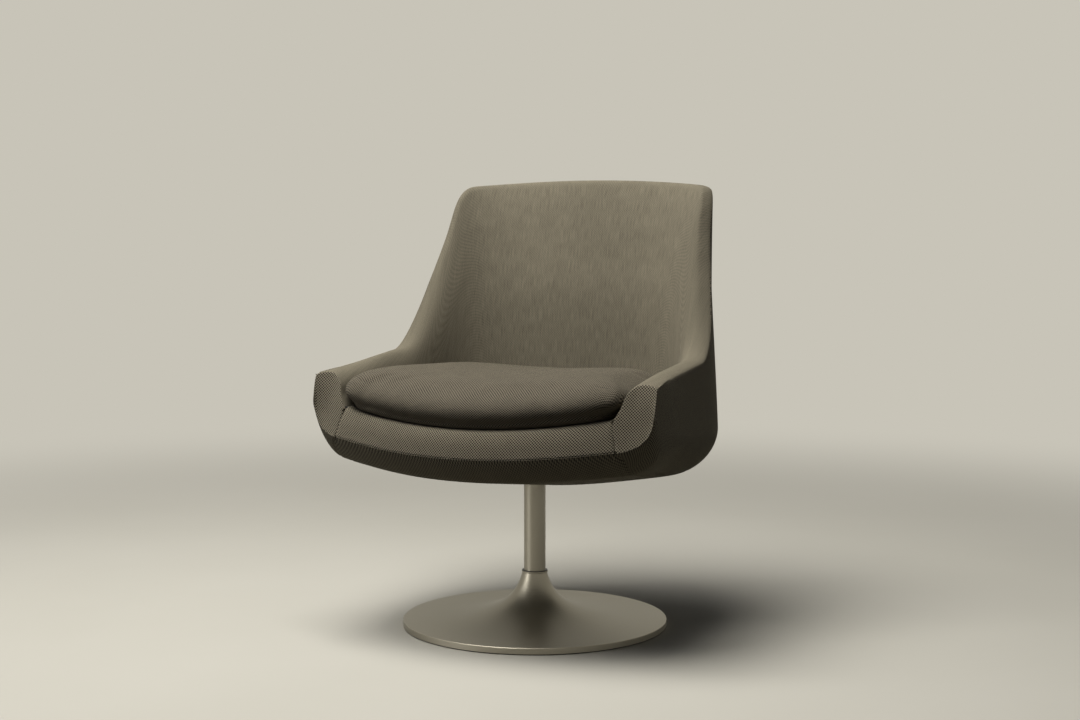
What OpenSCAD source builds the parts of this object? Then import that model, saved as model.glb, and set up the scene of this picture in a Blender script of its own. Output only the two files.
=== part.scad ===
// Swivel lounge chair: an upholstered tub on a spun trumpet foot.
// Millimetres. Origin on the floor at the column axis, +Z up, the chair faces -Y.

/* [Tub outline] */
// half width of the tub at its belt
tub_half_w = 326; // [318:1:334]
// reach of the belt behind the column axis
tub_rear = 280; // [270:1:290]
// squareness of the tub's rear outline
outline_pow = 2.8; // [2.5:0.1:3.1]
// reach of the bowed front, on the centre line
bow_front = 322; // [312:1:332]
// how far the bow falls back at the tub's corners
bow_setback = 81; // [74:1:88]
// how far the front face leans back per millimetre of height
face_lean = 0.3; // [0.2:0.02:0.36]

/* [Tub belly] */
// height of the belly at the column
belly_z = 262; // [255:1:268]
// rise of the belly from the column to the front
belly_front_rise = 48; // [40:1:56]
// rise of the belly from the column to the back
belly_rear_rise = 30; // [20:1:38]
// rise of the belly from the column to the sides
belly_side_rise = 39; // [30:1:46]
// radius of the belly's turn into the side walls
side_round = 62; // [52:1:72]
// depth of the belly's turn into the front rail
lip_round = 38; // [32:1:44]
// fullness of that turn, from 1 for a plain chamfer to 2 for a quarter circle
lip_full = 1.3; // [1.2:0.1:2]
// height of the mounting board above the belly
board_rise = 38; // [36:1:42]

/* [Tub rim] */
// height of the arm at its front tip
arm_tip_z = 474; // [464:1:484]
// rise of the arm from its tip to the column axis
arm_rise = 20; // [10:1:30]
// distance behind the axis at which the raked side's height is given
rake_y = 134; // [128:1:140]
// height of the raked side there
rake_z = 614; // [600:1:628]
// steepness of the raked side
rake_slope = 2.17; // [2:0.01:2.4]
// length of the blend from arm to rake
elbow_blend = 120; // [100:1:140]
// length of the blend from rake to the top edge
corner_blend = 60; // [45:1:75]
// height of the back's corners
back_top_z = 811; // [795:1:825]
// crown of the top edge
top_crown = 13; // [8:1:18]
// how far the back leans out behind the belt at its top
back_lean = 18; // [12:1:26]
// length over which an arm's front turns into its side
front_blend = 120; // [100:5:140]
// how far the rim line lies inside the belt's outline, along the arms
rim_inset = 9; // [6:1:12]
// how far the rim line lies in front of the belt's outline at the back
rim_in = 13; // [8:1:18]
// squareness of the rim line's turn round the back
rim_pow = 2.6; // [2.4:0.1:2.8]
// extra squareness of the turn at the top of the back
rim_pow_top = 0.75; // [0.5:0.05:1]
// width of the flat of the rim, next to the seam
rim_flat = 22; // [18:1:26]
// radius of the rim's soft inner edge
rim_round = 32; // [28:1:36]
// crown of the rim above its seam, on the arms
rim_crown = 8; // [5:1:10]
// thickness of the back's rim as a share of the arms' rim
back_rim_share = 0.78; // [0.7:0.02:0.9]

/* [Tub layers] */
// thickness of the outer cover with its lining
cover_t = 4; // [3:0.5:5]
// wall of the moulded shell
shell_t = 9; // [7:0.5:11]
// thickness of the inner cover with its lining
lining_t = 3; // [2:0.5:4]
// half width of the seat well at its deck
well_half_w = 256; // [252:1:260]
// reach of the seat well behind the column axis
well_rear = 178; // [168:1:188]
// height of the deck at the front, on the centre line
deck_z = 398; // [392:1:404]
// rise of the deck to its sides
deck_side_rise = 26; // [20:1:32]
// fall of the deck from front to back
deck_fall = 20; // [12:1:28]

/* [Front rail] */
// depth of the front rail pad
rail_depth = 40; // [34:1:46]
// half length of the rail at its foot
rail_half = 268; // [262:1:272]
// how far an arm's front face turns back per millimetre across
arm_skew = 0.23; // [0.2:0.01:0.26]
// thickness of the pads on the arms' front faces
wing_t = 12; // [10:1:14]

/* [Cushion] */
// half width of the seat cushion
cushion_half_w = 262; // [256:1:263]
// height of the cushion's front edge above the front rail's foot
cushion_nose = 52; // [46:1:58]
// how far the cushion's front hangs over the rail's top
cushion_overhang = 8; // [4:1:12]
// radius of the cushion's front corners
cushion_corner = 40; // [30:1:50]
// how much narrower the cushion's sides are at the column than at the front
cushion_taper = 8; // [6:1:12]
// gap between the cushion and the back, at the deck
cushion_gap = 3; // [2:1:6]
// height of the cushion's border
cushion_border = 44; // [38:1:50]
// crown of the cushion above its border
cushion_crown = 43; // [36:1:50]
// fullness of the crown towards the cushion's edge
cushion_full = 5; // [3:0.5:7]

/* [Foot] */
// radius of the spun foot
foot_r = 245; // [235:1:255]
// height of the foot's rim
foot_rim_h = 13; // [11:0.5:15]
// height of the foot's neck
neck_z = 101; // [96:1:108]
// radius of the foot's neck
neck_r = 23; // [22.5:0.1:24]
// how fast the foot's curve flattens out from its neck
foot_flare = 0.82; // [0.7:0.02:1.1]
// thickness of the spun sheet
foot_t = 2; // [1.5:0.1:2.5]
// thickness of the felt floor pad
pad_t = 3; // [2:0.5:4]
// gap from the floor to the foot's rim
rim_gap = 2; // [1:0.5:2.5]
// thickness of the ballast plate
ballast_t = 8; // [6:0.5:10]
// height of the ballast's hub above its plate
hub_h = 17; // [14:1:20]
// radius of the hub at its foot
hub_r = 60; // [54:1:66]

/* [Column and swivel] */
// outer radius of the column
column_r = 20; // [19:0.25:21]
// wall of the column
column_wall = 2.5; // [2:0.1:3]
// radius of the spindle
spindle_r = 13.95; // [12:0.05:14.5]
// running clearance of the spindle in its bushes
spindle_clear = 0.05; // [0.02:0.01:0.1]
// length of each bush in the column
bush_len = 32; // [24:1:40]
// distance between the two bushes
bush_gap = 72; // [60:1:84]
// thickness of the flange of the upper bush
flange_t = 3; // [2:0.5:4]
// thickness of the thrust washer
washer_t = 2; // [1.5:0.1:2.5]
// radius of the seat plate's arms
plate_r = 112; // [104:1:118]
// thickness of the seat plate
plate_t = 5; // [4:0.5:6]
// radius of the circle of seat bolts
bolt_circle = 92; // [84:1:96]
// radius of a seat bolt's shank
bolt_r = 4; // [3:0.5:4.5]
// thickness of the mounting board
board_t = 15; // [12:1:18]
// radius of the mounting board
board_r = 140; // [134:1:146]

/* [Hidden] */
eps = 0.01;
seam_h = 2.5;
shell_d = cover_t + shell_t;
rim_half_w = tub_half_w - rim_inset;
board_z = belly_z + board_rise;
column_top = board_z - plate_t - washer_t - flange_t;
hub_top = pad_t + ballast_t + hub_h;
bore_r = column_r - column_wall;
shell_hole = board_r - 15;
cover_hole = column_r + 1.5;
board_seat = board_r + 13;
corner_y = -bow_front + bow_setback;
nf = 7;    // stations along the rail, each side
nw = 4;    // stations across an arm's front
ns = 6;    // stations along an arm
nb = 16;   // stations round the back, each side
$fn = 96;

function lerp(a, b, t) = a + (b - a) * t;
function clamp(x) = min(1, max(0, x));
function smax(a, b, k) = max(a, b) + pow(max(k - abs(a - b), 0) / k, 2) * k / 4;
function smin(a, b, k) = -smax(-a, -b, k);
function bow(x) = -bow_front + bow_setback * pow(x / tub_half_w, 2);
function turn(e, r, n = 2) = r <= 0 ? 0 : r * (1 - pow(1 - pow(clamp((r - e) / r), n), 1 / n));

// point at angle q of a squared ellipse with half axes a and b
function se(a, b, n, q) = [a * pow(max(cos(q), 0), 2 / n), b * pow(max(sin(q), 0), 2 / n)];

// height of the rim seam along the chair
function rim_z(y, x) =
    let (arm = arm_tip_z + arm_rise * (y - corner_y - tip_set) / (-corner_y - tip_set),
         rake = rake_z + rake_slope * (y - rake_y),
         top = back_top_z + top_crown * (1 - pow(clamp(abs(x) / (0.77 * tub_half_w)), 2)))
    smin(smax(arm, rake, elbow_blend), top, corner_blend);

// height of the tub's underside, for the layer that lies d inside the outer face
function under(x, y, d) =
    let (a = tub_half_w - d, b = tub_rear - d,
         r = norm([x, y]),
         rho = y <= 0 ? abs(x) / a
             : pow(pow(abs(x) / a, outline_pow) + pow(y / b, outline_pow), 1 / outline_pow),
         es = y <= 0 ? a - abs(x) : (rho < eps ? a : r * (1 / rho - 1)),
         ef = y - d - bow(x * tub_half_w / a))
    belly_z + d + (y < 0 ? -belly_front_rise * y / bow_front : belly_rear_rise * pow(y / tub_rear, 2))
    + belly_side_rise * pow(x / tub_half_w, 2)
    + turn(es, side_round - d) + turn(ef, lip_round - d, lip_full);

// stations round the tub, right half, from the front's centre to the back's
stations = concat(
    [for (i = [0:nf]) [0, rail_half * i / nf]],
    [for (i = [1:nw]) [0, lerp(rail_half, tub_half_w, min(i / nw, 0.985))]],
    [[1, corner_y], [1, corner_y + wing_t - 3], [1, corner_y + wing_t]],
    [for (i = [1:ns]) [1, lerp(corner_y + wing_t, 0, i / ns)]],
    [for (i = [1:nb]) [2, 90 * pow(i / nb, 1.25)]]);
last = len(stations) - 1;
first_pad = nf + nw + 3;

function fade(y) = 1 - clamp((y - corner_y) / front_blend);
tip_x = tub_half_w - 2;
tip_set = face_lean * (arm_tip_z - under(tip_x, bow(tip_x), 0));
lean_z = 1.055 * arm_tip_z;

// plan point of the outer face at the belt, moved in by d
function belt(s, d) = let (k = s[0], v = s[1])
    k == 0 ? [v * (tub_half_w - d) / tub_half_w, bow(v) + d]
    : k == 1 ? [tub_half_w - d, v + d * fade(v)]
    : se(tub_half_w - d, tub_rear - d, outline_pow, v);
function belt_z(s, d) = let (p = belt(s, d)) under(p[0], p[1], d);

// plan point and height of the rim seam
function top_iter(q, z, n) = let (w = pow(clamp((z - lean_z) / (back_top_z - lean_z)), 4),
        p = se(rim_half_w, tub_rear - rim_in + (back_lean + rim_in) * w, rim_pow + rim_pow_top * w, q))
    n == 0 ? [p[0], p[1], rim_z(p[1], p[0])] : top_iter(q, rim_z(p[1], p[0]), n - 1);
function rim(s) = let (k = s[0], v = s[1])
    k == 1 ? let (f = fade(v), x = lerp(rim_half_w, tip_x, f), y = v + tip_set * f)
        [x, y, rim_z(y, x)]
    : top_iter(v, back_top_z, 5);
function inward(s) = let (k = s[0], v = s[1])
    k == 0 ? [0, 1] : k == 1 ? [-1, 0]
    : let (p = rim(s), q = [p[0] / pow(rim_half_w, 2), p[1] / pow(tub_rear + back_lean, 2)]) -q / norm(q);

// plane behind the pad on an arm's front face, where shell, foam and inner cover start
function arm_front(x, z) = bow(rail_half) + arm_skew * (x - rail_half) + wing_t
    + face_lean * (z - under(rail_half, bow(rail_half), 0));
function is_front(s) = s[0] == 1 && abs(s[1] - corner_y - wing_t) < eps;

// a point of the wall above the belt: t from the belt to the seam, d inside the outer face
function wall(s, d, t) = let (b = belt(s, d), zb = belt_z(s, d))
    s[0] == 0 ? [b[0], b[1], zb + seam_h * t]
    : let (r = rim(s), m = inward(s), w = pow(t, s[0] == 2 ? 1 + 0.8 * s[1] / 90 : 1),
           x = lerp(b[0], r[0] + m[0] * d, w), z = lerp(zb, r[2], t))
        [x, is_front(s) && d > 0 && t > 0.2 ? arm_front(x, z) : lerp(b[1], r[1] + m[1] * d, w), z];

// rows of the underside: three rings at the column, the shell's hole and the board, then rows to the belt
rows = [0.62, 0.8, 0.88, 0.94, 0.975, 0.993];
function floor_rows(s, d, r0, flat) = let (b = belt(s, d), u = b / norm(b), c = u * cover_hole)
    [for (p = concat([for (r = [cover_hole, shell_hole, board_seat]) if (r >= r0) u * r],
        [for (g = rows) lerp(c, b, g)])) [p[0], p[1], max(under(p[0], p[1], d), flat)]];

function mir(p) = [-p[0], p[1], p[2]];
function back(l) = [for (i = [len(l) - 1:-1:0]) l[i]];
// a ring of loops, right half then left half
function ring(half) = concat(half, [for (i = [len(half) - 2:-1:1]) [for (p = half[i]) mir(p)]]);
// from point h of a loop on, the quads are split the other way, so layers that touch share their facets
function bridge(n, m, wrap, h) = [for (i = [0:n - (wrap ? 1 : 2)]) for (j = [0:m - 1])
    let (a = i * m + j, b = i * m + (j + 1) % m,
         c = ((i + 1) % n) * m + (j + 1) % m, d = ((i + 1) % n) * m + j)
    each (j < h ? [[a, b, c], [a, c, d]] : [[a, b, d], [b, c, d]])];
function flat_list(l) = [for (a = l) each a];

// closed band of equal loops
module band(loops) {
    m = len(loops[0]);
    polyhedron(flat_list(loops), bridge(len(loops), m, true, m / 2), convexity = 10);
}
// open sweep of equal loops with fanned ends; where a loop has a foot, the points next to its last point close
// onto that one, and the rest fan out from halfway between two points of its top
function fan_point(l, foot) = foot ? (l[4] + l[9]) / 2 : [for (k = [0:2]) [for (p = l) p[k]] * [for (p = l) 1 / len(l)]];
function placed(t, first, apex) = [for (i = t) i < 0 ? apex : first + i];
module sweep(loops, h, foot = false) {
    n = len(loops); m = len(loops[0]); a = foot ? 2 : 0; b = foot ? m - 2 : m - 1;
    cap = concat([for (j = [a:b]) [-1, j, j < b ? j + 1 : a]],
        foot ? [for (j = [0:1]) [b + 1, j, j + 1], [b + 1, 2, b]] : []);
    polyhedron(concat(flat_list(loops), [fan_point(loops[0], foot), fan_point(loops[n - 1], foot)]),
        concat(bridge(n, m, false, h), [for (t = cap) each
            [placed([t[0], t[2], t[1]], 0, n * m), placed(t, (n - 1) * m, n * m + 1)]]), convexity = 10);
}
// the same for a thin curved section, whose ends are strips between its two faces
module sheet(loops) {
    n = len(loops); m = len(loops[0]); e = (n - 1) * m;
    polyhedron(flat_list(loops), concat(bridge(n, m, false, m / 2),
        [for (j = [0:m / 2 - 2]) each [[j + 1, j, m - 1 - j], [j + 1, m - 1 - j, m - 2 - j],
            [e + j, e + j + 1, e + m - 1 - j], [e + j + 1, e + m - 2 - j, e + m - 1 - j]]]), convexity = 10);
}
// lidded pillow: loops run from the bottom centre out and back to the top centre
module pillow(loops, bottom, top) {
    n = len(loops); m = len(loops[0]);
    body = [for (i = [0:n - 1]) for (j = [0:m - 2])
        let (a = i * m + j, b = a + 1, d = ((i + 1) % n) * m + j, c = d + 1) each [[a, b, c], [a, c, d]]];
    caps = [for (i = [0:n - 1]) each [[n * m, i * m, ((i + 1) % n) * m],
        [n * m + 1, ((i + 1) % n) * m + m - 1, i * m + m - 1]]];
    polyhedron(concat(flat_list(loops), [bottom, top]), concat(body, caps), convexity = 6);
}

walls = [0, 0.15, 0.35, 0.6, 0.9, 1];
shell_walls = [0, 0.15, 0.35, 0.6, 0.9];

module outer_cover() color([0.42, 0.39, 0.34])
    band(ring([for (s = stations) concat(
        floor_rows(s, 0, cover_hole, 0), [for (t = walls) wall(s, 0, t)],
        back([for (t = walls) wall(s, cover_t, t)]), back(floor_rows(s, cover_t, cover_hole, 0)))]));

// the shell stops behind the pads on the arms' front faces
function shell_wall(s, d, t) = s[0] == 1 && s[1] < corner_y + wing_t - eps
    ? let (b = belt(s, d)) [b[0], b[1], belt_z(s, d) + seam_h * t] : wall(s, d, t);
module tub_shell() color([0.75, 0.72, 0.62])
    band(ring([for (s = stations) concat(
        floor_rows(s, cover_t, shell_hole, 0), [for (t = shell_walls) shell_wall(s, cover_t, t)],
        back([for (t = shell_walls) shell_wall(s, shell_d, t)]),
        back(floor_rows(s, shell_d, shell_hole, board_z)))]));

// seat deck
rail_top_half = well_half_w - 0.5;
function deck(x, y) = deck_z + deck_side_rise * pow(x / well_half_w, 2)
    - deck_fall * (y + bow_front) / (bow_front + well_rear);
arm_toe_y = arm_front(well_half_w, deck(well_half_w, bow(well_half_w)));
function toe(s) = let (k = s[0], v = s[1],
        p = k == 0 ? (abs(v) <= rail_half ? [v * rail_top_half / rail_half, bow(v) + rail_depth]
                : [lerp(rail_top_half, well_half_w, (v - rail_half) / (tub_half_w - rail_half)),
                   bow(rail_half) + rail_depth + (v - rail_half) * 0.1])
          : k == 1 ? [well_half_w, max(arm_toe(v), bow(rail_half) + rail_depth + 8 + (v - corner_y) * 0.03)]
          : se(well_half_w, well_rear, rim_pow, v))
    [p[0], p[1], deck(p[0], p[1])];

// foot of the padded arms and back, on the deck's edge
function arm_toe(v) = let (y0 = corner_y + wing_t) lerp(arm_toe_y, 0, clamp((v - y0) / -y0));
function pad_toe(s) = let (p = s[0] == 1 ? [well_half_w, arm_toe(s[1])] : se(well_half_w, well_rear, rim_pow, s[1]))
    [p[0], p[1], deck(p[0], p[1]) + 0.7];

// section of the padded arms and back
function rim_k(s) = s[0] == 2 ? lerp(1, back_rim_share, s[1] / 90) : 1;
function across(s) = s[0] == 1 ? [-1, -0.93 * face_lean * fade(s[1])] : inward(s);
function face(s, off) = let (r = rim(s), m = across(s), k = rim_k(s), cr = rim_crown * pow(k, 4),
        fl = rim_flat * k, ro = rim_round * k, c = cover_t + 0.3, e = pad_toe(s), dq = cr - ro * 1.12,
        q = [r[0] + m[0] * (fl + ro), r[1] + m[1] * (fl + ro), r[2] + dq])
    trim(s, concat(
        [for (g = [[c, 0], [lerp(c, fl, 0.45), cr * 0.7], [fl, cr]])
            [r[0] + m[0] * g[0], r[1] + m[1] * g[0], r[2] + g[1] - off]],
        [for (a = [30, 60, 90]) let (d = fl + ro * sin(a) - off * sin(a))
            [r[0] + m[0] * d, r[1] + m[1] * d, r[2] + dq + (ro * 1.12 - off) * cos(a)]],
        [for (w = [0.25, 0.5, 0.75, 1]) let (u = pow(w, 1.12))
            [lerp(q[0], e[0], u) - m[0] * off, lerp(q[1], e[1], u) - m[1] * off, lerp(q[2], e[2], w)]]));
// the first section lies flat against the back of the arm's front pad
function trim(s, l) = is_front(s) ? [for (p = l) [p[0], arm_front(p[0], p[2]), p[2]]] : l;
pad_stations = [for (i = [first_pad:last]) stations[i]];
function strand(half) = concat(half,
    [for (i = [len(half) - 2:-1:0]) [for (p = half[i]) mir(p)]]);
module inner_cover() color([0.5, 0.47, 0.41])
    sheet(strand([for (s = pad_stations) concat(face(s, 0), back(face(s, lining_t)))]));
module inner_foam() color([0.9, 0.85, 0.6])
    sweep(strand([for (s = pad_stations) concat(
        [for (t = shell_walls) wall(s, shell_d, t)],
        [wall(s, cover_t + 0.3, 0.92)], face(s, lining_t), [toe(s)])]), 16, true);
// pads on the arms' front faces
module wing() {
    x1 = tip_x;
    xf = x1 - rim_flat;
    xo = x1 - cover_t - 1.3;
    top = concat([[xo, arm_tip_z], [lerp(x1, xf, 0.5), arm_tip_z + rim_crown * 0.7],
        [xf, arm_tip_z + rim_crown]],
        [for (a = [25, 50, 75, 90]) [xf - rim_round * sin(a),
            arm_tip_z + rim_crown - rim_round * 1.12 * (1 - cos(a))]]);
    edge = concat(top, [[well_half_w, deck(well_half_w, arm_toe_y)]],
        [for (i = [0:nw - 1]) let (x = lerp(rail_half, tub_half_w, i / nw))
            [x, under(x, bow(x), 0) + seam_h + 0.3 + 0.9 * i * i]],
        [[xo - 2, under(tub_half_w, corner_y, 0) - 6], [xo, under(tub_half_w, corner_y, 0) + 3]]);
    front = [for (p = edge) let (zc = under(p[0], bow(p[0]), 0))
        [p[0], bow(p[0]) + face_lean * max(p[1] - zc, 0), p[1]]];
    sweep([front, [for (p = edge) [p[0], arm_front(p[0], p[1]) - 0.7, p[1]]]], 99);
}
module wing_pad_right() color([0.5, 0.47, 0.41]) wing();
module wing_pad_left() color([0.5, 0.47, 0.41]) mirror([1, 0, 0]) wing();

module front_rail() color([0.46, 0.43, 0.37]) {
    half = [for (i = [0:nf]) let (s = stations[i], e = toe(s), p0 = wall(s, 0, 1),
            p1 = wall(s, cover_t, 1), p2 = wall(s, shell_d, 1), h = e[2] - p0[2], nar = 1 - rail_top_half / rail_half)
        concat([for (g = [[0, 0], [0.3, 0.5], [0.75, 0.85], [1, 0.97], [1.6, 1.01]])
                [p0[0] * (1 - nar * min(g[1], 1)), p0[1] + face_lean * h * g[0], p0[2] + h * g[1]]],
            [e, p2, p1])];
    sweep(concat([for (i = [nf:-1:1]) [for (p = half[i]) mir(p)]], half), 5);
}

module deck_foam() color([0.85, 0.8, 0.55]) {
    r1 = board_r + 5; z1 = board_z + board_t + 2.3;
    pillow(ring([for (s = stations) let (fr = floor_rows(s, shell_d, board_seat, board_z), e = toe(s))
        concat([[fr[0][0] * r1 / board_seat, fr[0][1] * r1 / board_seat, z1]], fr,
            [wall(s, shell_d, s[0] == 0 ? 1 : 0), e], [for (g = [0.85, 0.55, 0.25]) [e[0] * g, e[1] * g, deck(e[0] * g, e[1] * g)]])]),
        [0, 0, z1], [0, 0, deck(0, 0)]);
}

// seat cushion
function cushion_front(x) = bow(x) + face_lean * cushion_nose - cushion_overhang
    + turn(cushion_half_w - x, cushion_corner);
function cushion_edge(s) = let (k = s[0], v = s[1])
    k == 0 ? let (x = cushion_half_w * min(v / (tub_half_w * 0.985), 1)) [x, cushion_front(x)]
    : k == 1 ? let (t = (v - corner_y) / -corner_y)
        [cushion_half_w - cushion_taper * t, lerp(cushion_front(cushion_half_w) + 4, 0, t)]
    : se(cushion_half_w - cushion_taper, well_rear - cushion_gap, rim_pow, v);
module seat_cushion() color([0.52, 0.49, 0.43])
    pillow(ring([for (s = stations) let (
            e = cushion_edge(s), g = 0.9)
        concat([for (k = [0.35, 0.7, 0.9, 0.965]) let (p = e * k) [p[0], p[1], deck(p[0], p[1]) + g]],
            [let (p = e * 0.985) [p[0], p[1], deck(p[0], p[1]) + 6]],
            [let (p = e) [p[0], p[1], deck(p[0], p[1]) + cushion_border * 0.5]],
            [for (k = [[0.985, 0.8], [0.95, 0.97], [0.85, 1.2], [0.65, 1.45], [0.35, 1.63]]) let (p = e * k[0])
                [p[0], p[1], deck(p[0], p[1]) + cushion_border * min(k[1], 1)
                    + cushion_crown * (1 - pow(k[0], cushion_full))]])]),
        [0, 0, deck(0, 0) + 0.9], [0, 0, deck(0, 0) + cushion_border + cushion_crown]);

// spun foot: a flared curve from the neck to the rim
function flare(r) = foot_rim_h + (neck_z - 3 - foot_rim_h)
    * (pow(neck_r / r, foot_flare) - pow(neck_r / foot_r, foot_flare)) / (1 - pow(neck_r / foot_r, foot_flare));
module trumpet_foot() color([0.72, 0.71, 0.69]) rotate_extrude() polygon(concat(
    [[foot_r, rim_gap], [foot_r, foot_rim_h - 1], [foot_r - 1, foot_rim_h]],
    [for (i = [1:26]) let (r = neck_r * pow(foot_r / neck_r, 1 - i / 26)) [r, flare(r)]],
    [[neck_r + 1.3, neck_z - 2], [neck_r + 1.3, neck_z], [neck_r - 1.2, neck_z], [neck_r - 1.2, neck_z - 10]],
    [for (i = [25:-1:2]) let (r = neck_r * pow(foot_r / neck_r, 1 - i / 26))
        [r - foot_t * 0.6, max(flare(r) - foot_t * (1 + 0.6 * neck_r / r), pad_t + ballast_t)]],
    [[foot_r - foot_t, pad_t + ballast_t], [foot_r - foot_t, rim_gap]]));
module neck_collar() color([0.08, 0.08, 0.08]) difference() {
    union() {
        translate([0, 0, neck_z - 9]) cylinder(r = neck_r - 1.2, h = 9);
        translate([0, 0, neck_z]) cylinder(r = neck_r + 0.8, h = 1.2);
    }
    translate([0, 0, neck_z - 10]) cylinder(r = column_r, h = 13);
}
module floor_pad() color([0.12, 0.12, 0.12]) cylinder(r = foot_r - foot_t - 1, h = pad_t);
module ballast_plate() color([0.2, 0.2, 0.21]) difference() {
    union() {
        translate([0, 0, pad_t]) cylinder(r = foot_r - foot_t - 0.5, h = ballast_t);
        translate([0, 0, pad_t]) cylinder(r1 = hub_r, r2 = hub_r - 1.5 * hub_h, h = ballast_t + hub_h);
        translate([0, 0, hub_top]) cylinder(r = bore_r, h = 10);
    }
    translate([0, 0, pad_t - 1]) cylinder(r = 14, h = 13);
    translate([0, 0, pad_t]) cylinder(r = 6, h = hub_h + 30);
}
module column_tube() color([0.74, 0.73, 0.71]) translate([0, 0, hub_top]) difference() {
    cylinder(r = column_r, h = column_top - hub_top);
    translate([0, 0, -1]) cylinder(r = bore_r, h = column_top - hub_top + 2);
}
module column_plug() color([0.4, 0.4, 0.42]) translate([0, 0, hub_top + 10]) difference() {
    cylinder(r = bore_r, h = 14);
    translate([0, 0, -1]) cylinder(r = 6, h = 16);
}
module tie_bolt() color([0.55, 0.55, 0.57]) {
    translate([0, 0, pad_t + 2]) cylinder(r = 10.4, h = 7.5, $fn = 6);
    translate([0, 0, pad_t + 2]) cylinder(r = 6, h = hub_top + 22 - pad_t - 2);
}
module tie_washer() color([0.6, 0.6, 0.62]) translate([0, 0, pad_t + 9.5]) difference() {
    cylinder(r = 12, h = 2.5);
    translate([0, 0, -1]) cylinder(r = 6, h = 5);
}
module bush(len) difference() {
    cylinder(r = bore_r, h = len);
    translate([0, 0, -1]) cylinder(r = spindle_r + spindle_clear, h = len + 2);
}
upper_z = column_top - bush_len;
lower_z = upper_z - bush_gap - bush_len;
module upper_bush() color([0.93, 0.92, 0.88]) {
    translate([0, 0, upper_z]) bush(bush_len);
    translate([0, 0, column_top]) difference() {
        cylinder(r = column_r, h = flange_t);
        translate([0, 0, -1]) cylinder(r = spindle_r + spindle_clear, h = flange_t + 2);
    }
}
module lower_bush() color([0.93, 0.92, 0.88]) translate([0, 0, lower_z]) bush(bush_len);
module thrust_washer() color([0.6, 0.6, 0.62]) translate([0, 0, column_top + flange_t]) difference() {
    cylinder(r = column_r, h = washer_t);
    translate([0, 0, -1]) cylinder(r = spindle_r + spindle_clear, h = washer_t + 2);
}
ring_z = lower_z - 1.9;
module spindle() color([0.5, 0.5, 0.52]) difference() {
    translate([0, 0, lower_z - 8]) cylinder(r = spindle_r, h = board_z - lower_z + 8);
    translate([0, 0, ring_z]) difference() {
        cylinder(r = spindle_r + 1, h = 1.6);
        translate([0, 0, -1]) cylinder(r = spindle_r - 1.2, h = 4);
    }
}
module retaining_ring() color([0.3, 0.3, 0.31]) translate([0, 0, ring_z]) difference() {
    cylinder(r = spindle_r + 2.4, h = 1.6);
    translate([0, 0, -1]) cylinder(r = spindle_r - 1.2, h = 4);
}
module at_bolts() for (a = [45:90:315]) rotate([0, 0, a]) translate([bolt_circle, 0, 0]) children();
module seat_plate() color([0.16, 0.16, 0.17]) translate([0, 0, board_z - plate_t]) difference() {
    union() {
        cylinder(r = 58, h = plate_t);
        for (a = [45, 135]) rotate([0, 0, a]) intersection() {
            translate([-plate_r, -24, 0]) cube([2 * plate_r, 48, plate_t]);
            cylinder(r = plate_r, h = plate_t);
        }
    }
    translate([0, 0, -1]) cylinder(r = spindle_r, h = plate_t + 2);
    translate([0, 0, -1]) at_bolts() cylinder(r = bolt_r + 0.2, h = plate_t + 2);
}
module seat_bolts() color([0.55, 0.55, 0.57]) at_bolts() {
    translate([0, 0, board_z - plate_t - 1.6 - 5.3]) cylinder(r = 7, h = 5.3, $fn = 6);
    translate([0, 0, board_z - plate_t - 1.6]) cylinder(r = bolt_r, h = plate_t + board_t + 1.6);
}
module bolt_washers() color([0.6, 0.6, 0.62]) at_bolts() translate([0, 0, board_z - plate_t - 1.6]) difference() {
    cylinder(r = 8, h = 1.6);
    translate([0, 0, -1]) cylinder(r = bolt_r, h = 4);
}
module t_nuts() color([0.65, 0.63, 0.5]) at_bolts() difference() {
    union() {
        translate([0, 0, board_z + board_t]) cylinder(r = 2.5 * bolt_r, h = 0.1 * board_t);
        translate([0, 0, board_z + board_t / 3]) cylinder(r = 1.375 * bolt_r, h = board_t * 2 / 3);
    }
    translate([0, 0, board_z]) cylinder(r = bolt_r, h = board_t + 5);
}
module mount_board() color([0.78, 0.62, 0.42]) difference() {
    translate([0, 0, board_z]) cylinder(r = board_r, h = board_t);
    at_bolts() {
        translate([0, 0, board_z - 1]) cylinder(r = bolt_r, h = board_t + 2);
        translate([0, 0, board_z + board_t / 3]) cylinder(r = 1.375 * bolt_r, h = board_t);
    }
}

floor_pad();
ballast_plate();
trumpet_foot();
neck_collar();
column_tube();
column_plug();
tie_bolt();
tie_washer();
upper_bush();
lower_bush();
thrust_washer();
spindle();
retaining_ring();
seat_plate();
seat_bolts();
bolt_washers();
t_nuts();
mount_board();
tub_shell();
outer_cover();
inner_foam();
inner_cover();
wing_pad_left();
wing_pad_right();
front_rail();
deck_foam();
seat_cushion();
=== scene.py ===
"""Looks of the swivel lounge chair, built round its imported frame. Forms are worked out in millimetres."""

import math

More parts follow.
